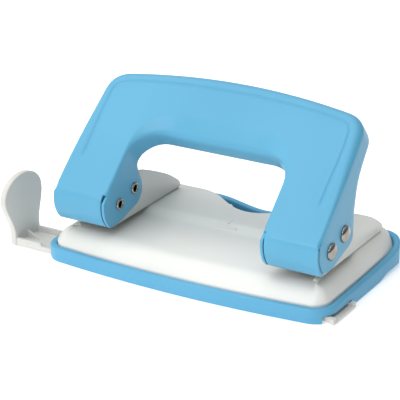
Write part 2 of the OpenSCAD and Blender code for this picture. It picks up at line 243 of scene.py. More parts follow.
def turnedPiece(profile, start, way, sides=48):
    # Turned on a lathe: radius and height pairs, from one closed end to the other
    way = Vector(way)
    sideways = Vector((0, 1, 0)) if abs(way.x) > 0.5 else Vector((1, 0, 0))
    other = way.cross(sideways)
    rings = []
    for radius, height in profile:
        centre = Vector(start) + way * height
        turns = [math.tau * i / sides for i in range(sides)]
        rings.append([tuple(centre + (sideways * math.cos(turn) + other * math.sin(turn)) * radius)
                      for turn in turns])
    return ringStack(rings)


def copyOfNode(node):
    # A CAD node's shape as a clean mesh in millimetres
    startClean()
    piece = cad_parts[node].copy()
    piece.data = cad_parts[node].data.copy()
    piece.parent = None
    for key in list(piece.keys()):
        del piece[key]
    bpy.context.scene.collection.objects.link(piece)
    makeActive(piece)
    piece.scale = (1 / metresPerMm,) * 3
    bpy.ops.object.transform_apply(location=True, rotation=True, scale=True)
    onWholeMesh(piece, (bpy.ops.mesh.remove_doubles, {"threshold": 0.002}),
                (bpy.ops.mesh.dissolve_limited, {"angle_limit": math.radians(0.5)}))
    return piece


def finishPiece(piece, name, body, material, replaced=(), smoothAngle=35):
    makeActive(piece)
    piece.name = name
    piece.data.name = name
    piece.scale = (metresPerMm,) * 3
    bpy.ops.object.transform_apply(location=True, rotation=True, scale=True)
    bpy.ops.object.shade_smooth_by_angle(angle=math.radians(smoothAngle))
    piece.data.materials.clear()
    piece.data.materials.append(material)
    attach(piece, body)
    if replaced:
        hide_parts(*replaced)
    return piece


view = {
    "target": (0.01347, -0.03925, 0.03821),
    "azimuth": 30.5,        # degrees to the right of straight in front
    "elevation": 21.74,
    "distance": 0.5354,
    "lens": 153.4,
}


def makeCamera():
    turn, rise = math.radians(view["azimuth"]), math.radians(view["elevation"])
    way = Vector((math.sin(turn) * math.cos(rise), -math.cos(turn) * math.cos(rise), math.sin(rise)))
    bpy.ops.object.camera_add(location=Vector(view["target"]) + way * view["distance"])
    camera = bpy.context.object
    camera.rotation_euler = way.to_track_quat("Z", "Y").to_euler()
    camera.data.lens = view["lens"]
    camera.data.clip_start = 0.01
    bpy.context.scene.camera = camera


def colour(hexText):
    # sRGB hex to the linear colour that shaders take
    parts = [int(hexText[i:i + 2], 16) / 255 for i in (1, 3, 5)]
    return [p / 12.92 if p <= 0.04045 else ((p + 0.055) / 1.055) ** 2.4 for p in parts] + [1.0]


def addNode(tree, kind, settings=None, inputs=None, links=None):
    # One node: its own settings, its input values, and what is plugged into its inputs
    node = tree.nodes.new(kind)
    for name, value in (settings or {}).items():
        setattr(node, name, value)
    for name, value in (inputs or {}).items():
        node.inputs[name].default_value = value
    for name, socket in (links or {}).items():
        tree.links.new(socket, node.inputs[name])
    return node


studio = {
    "worldLow": "#6F777C",       # on the right and below
    "worldHigh": "#FFFFFF",
    "worldStrength": 0.66,
    "brightWay": (-0.6, -0.05, 0.8),
    "floor": "#F4F4F4",
    "floorGlow": 0.36,           # keeps the paper free of grey shadows
    "floorGap": 0.00002,         # under the tray, so that the two don't coincide
}


def makeStudio():
    world = bpy.data.worlds.new("studioSky")
    bpy.context.scene.world = world
    world.use_nodes = True
    tree = world.node_tree
    tree.nodes.clear()
    where = addNode(tree, "ShaderNodeTexCoord")
    facing = addNode(tree, "ShaderNodeVectorMath", {"operation": "DOT_PRODUCT"}, {1: studio["brightWay"]},
                     {0: where.outputs["Generated"]})
    share = addNode(tree, "ShaderNodeMapRange", inputs={"From Min": -0.6, "From Max": 0.6},
                    links={"Value": facing.outputs["Value"]})
    ramp = addNode(tree, "ShaderNodeValToRGB", links={0: share.outputs[0]})
    ramp.color_ramp.elements[0].color = colour(studio["worldLow"])
    ramp.color_ramp.elements[1].color = colour(studio["worldHigh"])
    sky = addNode(tree, "ShaderNodeBackground", inputs={"Strength": studio["worldStrength"]},
                  links={"Color": ramp.outputs[0]})
    addNode(tree, "ShaderNodeOutputWorld", links={"Surface": sky.outputs[0]})

    # name, place, aimed at, width, height, watts
    lamps = [
        ("topSoftbox", (-0.15, -0.10, 0.75), (0, 0, 0), 0.9, 0.9, 3.4),
        ("leftSoftbox", (-0.75, -0.45, 0.35), (0, 0, 0.02), 0.5, 0.7, 1.2),
        ("frontSoftbox", (-0.10, -0.80, 0.62), (0, 0, 0.02), 0.7, 0.4, 3.0),
    ]
    for name, place, aim, width, height, watts in lamps:
        startClean()
        bpy.ops.object.light_add(type="AREA", location=place)
        lamp = bpy.context.object
        lamp.name = name
        lamp.rotation_euler = (Vector(place) - Vector(aim)).to_track_quat("Z", "Y").to_euler()
        lamp.data.shape = "RECTANGLE"
        lamp.data.size = width
        lamp.data.size_y = height
        lamp.data.energy = watts

    startClean()
    bpy.ops.mesh.primitive_circle_add(vertices=96, radius=3, fill_type="NGON", location=(0, 0, 0))
    floor = bpy.context.object
    floor.name = "studioFloor"
    floor.location.z = cadLow.z - studio["floorGap"]
    material = bpy.data.materials.new("studioPaper")
    material.use_nodes = True
    shader = material.node_tree.nodes["Principled BSDF"]
    shader.inputs["Base Color"].default_value = colour(studio["floor"])
    shader.inputs["Roughness"].default_value = 0.9
    shader.inputs["Emission Color"].default_value = colour("#FFFFFF")
    shader.inputs["Emission Strength"].default_value = studio["floorGlow"]
    floor.data.materials.append(material)
    bpy.context.scene.view_settings.view_transform = "Standard"


makeCamera()
makeStudio()
print("camera, light and floor are set")


def newMaterial(name):
    material = bpy.data.materials.new(name)
    material.use_nodes = True
    tree = material.node_tree
    tree.nodes.clear()
    where = addNode(tree, "ShaderNodeTexCoord")
    return material, tree, where.outputs["Object"]


def addNoise(tree, where, sizeInMm, detail):
    # A noise whose lumps are about this big
    scale = 1 / (sizeInMm * metresPerMm)
    return addNode(tree, "ShaderNodeTexNoise", inputs={"Scale": scale, "Detail": detail},
                   links={"Vector": where})


def addTone(tree, noise, look, start):
    # The finish's two shades, blended where the noise crosses its middle
    shade = addNode(tree, "ShaderNodeValToRGB", links={0: noise.outputs["Fac"]})
    dark, light = shade.color_ramp.elements
    dark.position, light.position = start, 1 - start
    dark.color, light.color = colour(look["dark"]), colour(look["light"])
    return shade.outputs["Color"]


def addGloss(tree, noise, look):
    gloss = addNode(tree, "ShaderNodeMapRange",
                    inputs={"To Min": look["roughLow"], "To Max": look["roughHigh"]},
                    links={"Value": noise.outputs["Fac"]})
    return gloss.outputs[0]


def addBump(tree, noise, strength, distance):
    bump = addNode(tree, "ShaderNodeBump", inputs={"Strength": strength, "Distance": distance},
                   links={"Height": noise.outputs["Fac"]})
    return bump.outputs[0]


def addSurface(tree, tone, gloss, bump, inputs):
    shader = addNode(tree, "ShaderNodeBsdfPrincipled", inputs=inputs,
                     links={"Base Color": tone, "Roughness": gloss, "Normal": bump})
    addNode(tree, "ShaderNodeOutputMaterial", links={"Surface": shader.outputs[0]})


def enamelPaint(name, look):
    # Stoved enamel on pressed steel: glossy, with a faint orange peel and a slightly uneven film
    material, tree, where = newMaterial(name)
    tone = addTone(tree, addNoise(tree, where, look["toneMm"], 2.0), look, 0.3)
    peel = addNoise(tree, where, look["peelMm"], 1.0)
    gloss = addGloss(tree, addNoise(tree, where, look["gritMm"], 3.0), look)
    addSurface(tree, tone, gloss, addBump(tree, peel, look["peelStrength"], 0.00004),
               {"IOR": look["ior"], "Specular IOR Level": look["sheen"], "Coat Weight": look["coat"],
                "Coat Roughness": look["coatRough"]})
    return material


def mouldedPlastic(name, look):
    # Injection moulded plastic: an even colour, a fine spark-eroded grain and soft, wide highlights
    material, tree, where = newMaterial(name)
    tone = addTone(tree, addNoise(tree, where, look["flowMm"], 2.0), look, 0.3)
    grain = addNoise(tree, where, look["grainMm"], 2.0)
    addSurface(tree, tone, addGloss(tree, grain, look), addBump(tree, grain, look["grainStrength"], 0.00003),
               {"IOR": look["ior"], "Subsurface Weight": look["glow"], "Subsurface Scale": 0.001})
    return material


def bareMetal(name, look):
    # Plated, ground or drawn steel: tiny tumbling scratches and a slight haze
    material, tree, where = newMaterial(name)
    haze = addNoise(tree, where, look["hazeMm"], 3.0)
    scratch = addNoise(tree, where, look["scratchMm"], 4.0)
    addSurface(tree, addTone(tree, haze, look, 0.35), addGloss(tree, haze, look),
               addBump(tree, scratch, look["scratchStrength"], 0.00002), {"Metallic": 1.0})
    return material


finishes = {
    "skyBlueEnamel": enamelPaint("skyBlueEnamel", {
        "dark": "#57A0C2", "light": "#5DA6C8", "toneMm": 40, "peelMm": 2.2, "peelStrength": 0.12,
        "gritMm": 0.6, "roughLow": 0.28, "roughHigh": 0.36, "ior": 1.5, "sheen": 0.25, "coat": 0.08,
        "coatRough": 0.08}),
    "whitePlateEnamel": enamelPaint("whitePlateEnamel", {
        "dark": "#D9DAD5", "light": "#E0E1DC", "toneMm": 35, "peelMm": 1.6, "peelStrength": 0.10,
        "gritMm": 0.5, "roughLow": 0.34, "roughHigh": 0.42, "ior": 1.5, "sheen": 0.5, "coat": 0.2,
        "coatRough": 0.15}),
    "whiteBracketEnamel": enamelPaint("whiteBracketEnamel", {
        "dark": "#CDCEC8", "light": "#D4D5CF", "toneMm": 25, "peelMm": 1.4, "peelStrength": 0.10,
        "gritMm": 0.5, "roughLow": 0.36, "roughHigh": 0.44, "ior": 1.5, "sheen": 0.5, "coat": 0.1,
        "coatRough": 0.2}),
    "softBlueTrayPlastic": mouldedPlastic("softBlueTrayPlastic", {
        "dark": "#52A0C5", "light": "#59A5CA", "flowMm": 45, "grainMm": 0.35, "grainStrength": 0.10,
        "roughLow": 0.42, "roughHigh": 0.52, "ior": 1.48, "glow": 0.04}),
    "ivoryGuidePlastic": mouldedPlastic("ivoryGuidePlastic", {
        "dark": "#CCCBC6", "light": "#D3D2CD", "flowMm": 30, "grainMm": 0.4, "grainStrength": 0.12,
        "roughLow": 0.40, "roughHigh": 0.5, "ior": 1.46, "glow": 0.05}),
    "brightNickel": bareMetal("brightNickel", {
        "dark": "#8F8B84", "light": "#A3A099", "hazeMm": 3, "scratchMm": 0.3, "scratchStrength": 0.05,
        "roughLow": 0.10, "roughHigh": 0.18}),
    "groundPinSteel": bareMetal("groundPinSteel", {
        "dark": "#A9A8A6", "light": "#BDBCBA", "hazeMm": 2, "scratchMm": 0.25, "scratchStrength": 0.12,
        "roughLow": 0.22, "roughHigh": 0.34}),
    # painted shade: a near-black rough metal for the inside of the rivets' bores, standing in for the shade
    # deep in the holes
    "boreShadePaint": bareMetal("boreShadePaint", {
        "dark": "#161513", "light": "#24221F", "hazeMm": 1, "scratchMm": 0.2, "scratchStrength": 0.2,
        "roughLow": 0.7, "roughHigh": 0.85}),
    "drawnSpringSteel": bareMetal("drawnSpringSteel", {
        "dark": "#7E7D7C", "light": "#979694", "hazeMm": 1.5, "scratchMm": 0.2, "scratchStrength": 0.15,
        "roughLow": 0.28, "roughHigh": 0.42}),
}
print("finishes are made")


handle = {
    "fold": (-28.6, 26.2),       # Y and Z of the lower fold
    "faceAngle": 43,
    "halfWidth": 50.3,
    "taper": 0.8,                # how much each side draws in
    "taperFrom": 8,
    "taperTo": 36,
    "cornerRadius": 8,
    "cornerHeight": 40.6,
    "topBowRadius": 250,
    "length": 52.2,
    "windowHalf": 29.7,
    "windowTop": 35.5,
    "windowRadius": 14,
    "openingTop": 28.05,         # where the rolled lip at the top of the window ends
    "openingRadius": 10,
    "sheet": 0.9,
    "innerFold": 1.0,
    "tongueCentre": (4.96, 9.41),
    "tongueRadius": 10.75,
    "wallSetBack": 1.25,         # from the front of a tongue to the wall behind it
    "tongueInner": 1.4,          # from the outside of the leg to the tongue's edge, on the window's side
    "tongueOuter": 0.2,
    "slitTop": 1.3,
    "grooveDepth": 0.3,
    "grooveHalf": 0.55,
    "grooveLow": 14,
    "rivetHole": 1.66,
    "edgeRound": 0.14,           # on the sheet's cut edges
}

pivotLow, pivotHigh = boxInMm("right_pivot_rivet")
driveLow, driveHigh = boxInMm("right_drive_rivet")
pivotYZ = ((pivotLow.y + pivotHigh.y) / 2, (pivotLow.z + pivotHigh.z) / 2)
driveYZ = ((driveLow.y + driveHigh.y) / 2, (driveLow.z + driveHigh.z) / 2)


def faceHalfWidth(along):
    share = max(0.0, along - handle["taperFrom"]) / (handle["taperTo"] - handle["taperFrom"])
    return handle["halfWidth"] - handle["taper"] * share * share


def sheetPoint(x, along, deep):
    # A point given across the handle, along its face and down from it
    angle = math.radians(handle["faceAngle"])
    y = handle["fold"][0] + along * math.cos(angle) + deep * math.sin(angle)
    z = handle["fold"][1] + along * math.sin(angle) - deep * math.cos(angle)
    return Vector((x, y, z))


def handleCorner():
    span = handle["taperTo"] - handle["taperFrom"]
    lean = math.atan(2 * handle["taper"] * (handle["cornerHeight"] - handle["taperFrom"]) / span**2)
    sideEnd = handle["cornerHeight"] + handle["cornerRadius"] * math.sin(lean)
    centreX = faceHalfWidth(sideEnd) - handle["cornerRadius"] * math.cos(lean)
    bowCentre = handle["length"] - handle["topBowRadius"]
    high = math.atan2(handle["cornerHeight"] - bowCentre, centreX)
    return centreX, handle["cornerHeight"], lean, high, bowCentre


def distanceInside(x, along):
    # How far a point of the face is inside the outer outline
    centreX, centreY, lean, high, bowCentre = handleCorner()
    angle = math.atan2(along - centreY, x - centreX)
    if x > centreX and lean <= angle <= high:
        return handle["cornerRadius"] - math.hypot(x - centreX, along - centreY)
    if along - centreY < math.tan(lean) * (x - centreX) or (x > centreX and angle < lean):
        return faceHalfWidth(along) - x
    return handle["topBowRadius"] - math.hypot(x, along - bowCentre)


def onRay(start, way, inset):
    # The point of a ray that is this far inside the outer outline
    low, high = 0.0, 80.0
    for _ in range(36):
        middle = (low + high) / 2
        if distanceInside(start[0] + way[0] * middle, start[1] + way[1] * middle) > inset:
            low = middle
        else:
            high = middle
    return start[0] + way[0] * low, start[1] + way[1] * low


# How deep the two kinds of wall reach below the face, along the leg and up to the top
outerWallDepth = [(-4.5, 10.5), (-1.1, 14.2), (4.7, 17.3), (8.1, 19), (11, 20.5), (13.2, 20.9),
                  (14.6, 20.3), (15.9, 19.1), (18.4, 16.8), (20.9, 14.5), (23.7, 12.7), (26.5, 11),
                  (29.5, 9.8), (33, 9.1), (38, 8.8)]
innerWallDepth = [(-5.7, 10.7), (-1.1, 14.5), (4.7, 17.5), (8, 19.2), (10.3, 20), (12.6, 19.7), (14.6, 18.5),
                  (16.2, 16.4), (17.4, 13), (18.2, 10.6), (19.6, 9.2), (22, 8.6)]
# Radius of the outer fold, which grows towards the top corners
foldRadius = [(8, 1.0), (20, 1.5), (28, 2.0), (36, 2.5), (44, 2.7)]
# Across the soft band at the top of the window: distance out from the window's line, and depth
softBand = [(0.9, 0), (0.35, 0.04), (-0.3, 0.17), (-1.8, 0.68), (-3.8, 1.4), (-5.2, 1.92), (-6.1, 2.35),
            (-6.75, 2.9), (-7.1, 3.7), (-7.22, 5.0), (-7.33, 6.9), (-7.45, 8.8)]


def tongueArc(share, setBack=0.0):
    # Along the tongue's curve, from the fold (0) to its tip (1)
    centre, radius = handle["tongueCentre"], handle["tongueRadius"] - setBack
    angle = math.radians(mix(241.96, 173.3, share))
    return centre[0] + radius * math.cos(angle), centre[1] + radius * math.sin(angle)


def bandShare(start, way):
    # How far the window's side has turned into the soft band, from where its lower edge has to lie
    cornerX = handle["windowHalf"] - handle["openingRadius"]
    cornerY = handle["openingTop"] - handle["openingRadius"]
    centre = (handle["windowHalf"] - handle["windowRadius"], handle["windowTop"] - handle["windowRadius"])
    low, high = 0.0, handle["windowRadius"]
    if start[0] < centre[0] + 0.001:
        return 1.0
    for _ in range(30):
        middle = (low + high) / 2
        x, y = start[0] - way[0] * middle, start[1] - way[1] * middle
        inCorner = x > cornerX and y > cornerY
        outside = (math.hypot(x - cornerX, y - cornerY) > handle["openingRadius"] if inCorner
                   else x > handle["windowHalf"] or y > handle["openingTop"])
        if outside:
            low = middle
        else:
            high = middle
    return min(1.0, low / -softBand[-1][0])


def grooveInset(x, along):
    # The pressed line comes a little closer to the edge towards the top corner
    side = 5.1 - 1.1 * smoothStep(handle["grooveLow"], handle["cornerHeight"], along)
    top = 4.5 - 0.5 * min(1.0, abs(x) / 38)
    return mix(side, top, smoothStep(handle["cornerHeight"], handle["cornerHeight"] + 6, along))


def sheetStations():
    # Each station: kind, inner point on the window's line, direction outwards, share of soft band.
    # A tongue's station has its share along the curve in place of the point.
    tongueSteps = 14
    stations = [("tongue", 1 - i / tongueSteps, None, 0.0) for i in range(tongueSteps)]
    legRows = [0, 0.65, 1.3, 1.8, 2.4, 3.2, 4.5, 6, 7.5, 9, 10.5, 12, 13, 13.7, 14.4, 15.1, 15.8, 16.4, 17,
               17.6, 18.2, 18.9, 19.7, 20.6]
    for along in legRows:
        start = (handle["windowHalf"], along)
        stations.append(("leg", start, (1.0, 0.0), bandShare(start, (1.0, 0.0))))
    radius = handle["windowRadius"]
    centre = (handle["windowHalf"] - radius, handle["windowTop"] - radius)
    angles = [0, 4, 8, 12, 16, 20, 24, 26.5, 28.5, 30.5, 32.5, 34.5, 36.5, 38.5, 40.5, 42.5, 44.5, 46.5, 49,
              53, 58, 64, 70, 77, 84]
    for angle in angles:
        way = (math.cos(math.radians(angle)), math.sin(math.radians(angle)))
        start = (centre[0] + way[0] * radius, centre[1] + way[1] * radius)
        stations.append(("turn", start, way, bandShare(start, way)))
    topSteps = 7
    for i in range(topSteps + 1):
        x = centre[0] * (1 - i / topSteps)
        stations.append(("turn", (x, handle["windowTop"]), (0.0, 1.0), 1.0))
    return stations


foldSteps = 6
wallSteps = 5
faceSteps = 7


def stationColumns(station):
    # Points (x, along, deep) from the inner wall's lower edge, over the face, to the outer wall's lower edge
    kind, start, way, band = station
    isTongue = kind == "tongue"
    if isTongue:
        share = start
        arcAlong, arcDeep = tongueArc(share)
        backAlong, backDeep = tongueArc(share, handle["wallSetBack"])
        start, way = (handle["windowHalf"], arcAlong), (1.0, 0.0)
    along = start[1]
    # The folds open out to the slits' edges just above the tongues
    slitShare = 1 - smoothStep(handle["slitTop"], 3.2, along)
    points = []

    # Inner wall, from its lower edge up to the fold
    wallTop = handle["innerFold"]
    innerDepth = alongCurve(innerWallDepth, along)
    for i in range(wallSteps):
        up = 1 - i / wallSteps
        if isTongue:
            footAlong = mix(-0.2, -5.2, share)
            footDeep = alongCurve(innerWallDepth, footAlong)
            points.append((start[0], mix(arcAlong, footAlong, up), mix(max(arcDeep, wallTop), footDeep, up)))
            continue
        bandPoint = softBand[len(softBand) - 1 - i]
        out, deep = mix(0.0, bandPoint[0], band), mix(mix(wallTop, innerDepth, up), bandPoint[1], band)
        points.append((start[0] + way[0] * out, start[1] + way[1] * out, deep))
    for i in range(foldSteps + 1):
        turn = math.radians(90 * (1 - i / foldSteps))
        foldOut, foldDeep = wallTop * (1 - math.sin(turn)), wallTop * (1 - math.cos(turn))
        bandPoint = softBand[foldSteps - i]
        out, deep = mix(foldOut, bandPoint[0], band), mix(foldDeep, bandPoint[1], band)
        spread = handle["tongueInner"] * i / foldSteps
        if isTongue:
            out, deep = spread, max(arcDeep, wallTop) if i == 0 else arcDeep
        elif kind == "leg":
            out = mix(out, max(out, spread), slitShare)
        points.append((start[0] + way[0] * out, start[1] + way[1] * out, deep))

    # Face, with the pressed line beside its outer edge
    outerLine = onRay(start, way, 0) if not isTongue else (faceHalfWidth(along), along)
    radius = alongCurve(foldRadius, outerLine[1])
    fade = smoothStep(handle["grooveLow"] - 0.7, handle["grooveLow"] + 0.7, along)
    middle, half = grooveInset(*outerLine), handle["grooveHalf"]
    insets = [(middle + 1.7 * half, 0), (middle + half, 0), (middle + half * 0.5, 0.8), (middle, 1),
              (middle - half * 0.5, 0.8), (middle - half, 0), (mix(middle - half, radius, 0.55), 0)]

    def atInset(inset):
        return onRay(start, way, inset) if not isTongue else (faceHalfWidth(along) - inset, along)

    inner = points[-1]
    outerFace = atInset(insets[0][0])
    faceDeep = arcDeep if isTongue else 0.0
    for i in range(1, faceSteps):
        across = i / faceSteps
        points.append((mix(inner[0], outerFace[0], across), mix(inner[1], outerFace[1], across),
                       mix(inner[2], faceDeep, across)))
    for inset, depth in insets:
        points.append((*atInset(inset), faceDeep + handle["grooveDepth"] * depth * fade))

    # Outer fold and wall
    for i in range(foldSteps + 1):
        turn = math.radians(90 * i / foldSteps)
        inset, deep = radius * (1 - math.sin(turn)), radius * (1 - math.cos(turn))
        spread = mix(radius, handle["tongueOuter"], min(1.0, i / (foldSteps - 1)))
        if isTongue:
            inset, deep = spread, arcDeep
        elif kind == "leg" and i < foldSteps:
            inset = mix(inset, max(inset, spread), slitShare)
        x, u = atInset(inset)
        if isTongue and i == foldSteps:
            x, u, deep = faceHalfWidth(along), backAlong, backDeep
        points.append((x, u, deep))
    edge = points[-1]
    for i in range(1, wallSteps + 1):
        down = i / wallSteps
        if isTongue:
            footAlong = mix(-0.2, -4.0, share)
            footDeep = alongCurve(outerWallDepth, footAlong)
            points.append((edge[0], mix(edge[1], footAlong, down), mix(edge[2], footDeep, down)))
        else:
            points.append((edge[0], edge[1], mix(edge[2], alongCurve(outerWallDepth, edge[1]), down)))
    return points


def makeHandle():
    half = sheetStations()
    rows = [stationColumns(s) for s in half]
    kinds = [s[0] for s in half]
    mirrored = [[(-x, u, d) for x, u, d in row] for row in reversed(rows[:-1])]
    rows = rows + mirrored
    kinds = kinds + kinds[-2::-1]
    rowCount, columnCount = len(rows), len(rows[0])
    startClean()
    bpy.ops.mesh.primitive_grid_add(x_subdivisions=columnCount - 1, y_subdivisions=rowCount - 1, size=2)
    sheet = bpy.context.object
    # The flat sheet is laid over its form, row by row
    order = sorted(sheet.data.vertices, key=lambda v: (round(v.co.y, 5), round(v.co.x, 5)))
    rowOf, columnOf = {}, {}
    for number, vertex in enumerate(order):
        rowOf[vertex.index], columnOf[vertex.index] = divmod(number, columnCount)
    for vertex in sheet.data.vertices:
        vertex.co = sheetPoint(*rows[rowOf[vertex.index]][columnOf[vertex.index]])
    sheet.data.update()

    # Slits beside each tongue, where the folds are cut away
    slitRows = [i for i, row in enumerate(rows) if kinds[i] == "tongue"
                or (kinds[i] == "leg" and row[wallSteps + foldSteps + 2][1] < handle["slitTop"] + 0.1)]
    innerFold = range(wallSteps, wallSteps + foldSteps + 1)
    outerFold = range(columnCount - wallSteps - 2, columnCount - wallSteps)

    def isSlit(face):
        cells = [(rowOf[v.index], columnOf[v.index]) for v in face.verts]
        if not all(r in slitRows for r, c in cells):
            return False
        return all(c in innerFold for r, c in cells) or all(c in outerFold for r, c in cells)

    deleteFaces(sheet, isSlit)
    turnOutwards(sheet)
    turnUpwards(sheet)
    applyModifier(sheet, "SOLIDIFY", thickness=handle["sheet"], offset=-1, use_even_offset=True)
    breakEdges(sheet, handle["edgeRound"])
    # Holes for the rivets, through both walls of each leg
    inside, outside = handle["windowHalf"] - 1.7, handle["halfWidth"] + 2.7
    for side in (-1, 1):
        for y, z in (pivotYZ, driveYZ):
            cutAway(sheet, newRod((side * inside, y, z), (side * outside, y, z), handle["rivetHole"]))
    print("handle:", rowCount, "rows,", columnCount, "columns,", len(sheet.data.polygons), "faces")
    return finishPiece(sheet, "pressed_handle", "handle", finishes["skyBlueEnamel"],
                       ["handle"], smoothAngle=50)


makeHandle()

trayLow, trayHigh = boxInMm("chip_tray")
tray = {
    "halfWidth": trayHigh.x,
    "halfDepth": trayHigh.y,
    "cornerRadius": 8,
    "frontBow": -trayLow.y - trayHigh.y,
    "rimWidth": 2.3,
    "rimRound": 0.75,            # how far the rim's top edges are rounded over
    "ledgeWidth": 1.1,
    "ledgeHeight": 4.4,
    "floorHeight": 1.4,
    "shallowFloor": 3.8,         # over the paper guide's groove
    "grooveHeight": 2.6,
    "grooveGap": 1.4,
    "tabHeight": 0.5,
    "dipHeight": 7.4,            # of the rear rim behind the plate's notch
    "dipHalf": 20,
}
# Height of the rim along Y: low at the front and the sides, high at the rear corners
rimHeights = [(-20, 5.2), (0, 5.5), (18, 6.3), (24, 7.7), (28, 9.5), (31, 10)]
guideLow, guideHigh = boxInMm("guide_bar")
barMiddle, barHalf = -20.5, 6.9


def bowedOutline(margin, across=40, along=44, corner=10):
    # Round-cornered outline with a bowed front, drawn in by a margin: x, y and the way it faces
    radius = tray["cornerRadius"] - margin
    cornerX = tray["halfWidth"] - tray["cornerRadius"]
    cornerY = tray["halfDepth"] - tray["cornerRadius"]
    lean = math.degrees(math.atan(2 * tray["frontBow"] / cornerX))
    points = []

    def addArc(centreX, centreY, start, end):
        for i in range(corner + 1):
            angle = math.radians(mix(start, end, i / corner))
            points.append((centreX + radius * math.cos(angle), centreY + radius * math.sin(angle),
                           math.cos(angle), math.sin(angle)))

    addArc(cornerX, cornerY, 0, 90)
    points.extend((cornerX * (1 - 2 * i / across), cornerY + radius, 0, 1) for i in range(1, across))
    addArc(-cornerX, cornerY, 90, 180)
    points.extend((-cornerX - radius, cornerY * (1 - 2 * i / along), -1, 0) for i in range(1, along))
    addArc(-cornerX, -cornerY, 180, 270 - lean)
    for i in range(1, across):
        x = cornerX * (2 * i / across - 1)
        slope = 2 * tray["frontBow"] * x / cornerX**2
        size = math.hypot(1, slope)
        y = -cornerY - radius - tray["frontBow"] * (1 - (x / cornerX)**2)
        points.append((x, y, slope / size, -1 / size))
    addArc(cornerX, -cornerY, 270 + lean, 360)
    points.extend((cornerX + radius, cornerY * (2 * i / along - 1), 1, 0) for i in range(1, along))
    return points


def rimHeight(x, y):
    height = alongCurve(rimHeights, y)
    if y > tray["halfDepth"] - 8 and abs(x) < tray["dipHalf"]:
        wave = (1 - math.cos(math.pi * x / tray["dipHalf"])) / 2
        height = min(height, mix(tray["dipHeight"], rimHeights[-1][1], wave))
    return height


def makeTray():
    rim, soft = tray["rimWidth"], tray["rimRound"]
    ledge, floor = tray["ledgeHeight"], tray["shallowFloor"]
    rings = []
    for margin, height in ((0.5, 0), (0.13, 0.14), (0, 0.55)):
        rings.append([(x, y, height) for x, y, nx, ny in bowedOutline(margin)])
    # Rounded over the rim, from the outside to the inside
    for i in range(6):
        turn = math.radians(90 * i / 5)
        margin, drop = soft * (1 - math.cos(turn)), soft * (1 - math.sin(turn))
        rings.append([(x, y, rimHeight(x, y) - drop) for x, y, nx, ny in bowedOutline(margin)])
    for i in range(5):
        turn = math.radians(90 * i / 4)
        margin, drop = rim - soft * (1 - math.sin(turn)), soft * (1 - math.cos(turn))
        rings.append([(x, y, rimHeight(x, y) - drop) for x, y, nx, ny in bowedOutline(margin)])
    chipMargin = rim + tray["ledgeWidth"]
    for margin, height in ((rim, ledge), (chipMargin, ledge), (chipMargin, floor)):
        rings.append([(x, y, height) for x, y, nx, ny in bowedOutline(margin)])
    body = ringStack(rings)

    # Deep chip space behind the guide's groove
    inner = bowedOutline(chipMargin)
    chips = ringStack([[(x, y, z) for x, y, nx, ny in inner] for z in (tray["floorHeight"], 9)])
    behind = newBox((-80, barMiddle + barHalf + tray["grooveGap"] + 1.2, 0), (80, 80, 20))
    cutAway(chips, behind, "INTERSECT")
    cutAway(body, chips)

    # Groove that the guide slides in: wide through the right-hand wall, narrow in the left-hand wall
    wide, narrow = barHalf + tray["grooveGap"], barHalf + 0.3
    left, high = -tray["halfWidth"], tray["grooveHeight"]
    cutAway(body, newBox((left + 3.4, barMiddle - wide, -1), (-left + 5, barMiddle + wide, high)))
    cutAway(body, newBox((left - 5, barMiddle - narrow, -1), (left + 15, barMiddle + narrow, high)))
    # Finger lifts under the rear of both sides
    lift = [(8, -1), (9.5, 0.3), (12.5, 1.0), (15.5, 1.5), (40, 1.5), (40, -1)]
    for side in (-1, 1):
        middle = side * (tray["halfWidth"] - 0.9)
        cutAway(body, prism(lift, middle - 2, middle + 2, "X"))
    # Tabs that keep the bar in its groove
    for x in (-40, 0, 40):
        tab = newBox((x - 3, barMiddle - wide - 0.3, 0), (x + 3, barMiddle + wide + 0.3, tray["tabHeight"]))
        cutAway(body, tab, "UNION")
    turnOutwards(body)
    print("tray:", len(body.data.polygons), "faces")
    return finishPiece(body, "moulded_tray", "tray", finishes["softBlueTrayPlastic"],
                       ["chip_tray"])


makeTray()

plate = {
    "inset": 2.45,               # from the tray's outside to the plate's edge
    "sheet": 1.0,
    "skirtLow": 4.45,
    "frontTop": 10.7,
    "rearTop": 12.5,
    "stepY": 1.53,               # where the paper stops
    "stepHalf": 2.4,
    "frontEdge": (5.3, 7.6),     # height of the edge, and width of its rounded shoulder
    "sideEdge": (6.2, 5.0),
    "rearEdge": (9.6, 2.6),
    "notchEdge": (12.0, 0.8),
    "notchDepth": 13,
    "notchHalf": 24,
    "holeRadius": 3.05,
    "rivetHole": 1.63,
    "crownPower": 2.2,           # how full the shoulder is
    "markHalf": 4,               # the centre mark, a bar along the step
}
legX = 40.0
pinLow, pinHigh = boxInMm("right_punch_pin")
pinY = (pinLow.y + pinHigh.y) / 2
bracketRivetYs = (7.5, 17)


def drillAt(x, y, radius, low, high):
    return newRod((x, y, low), (x, y, high), radius)


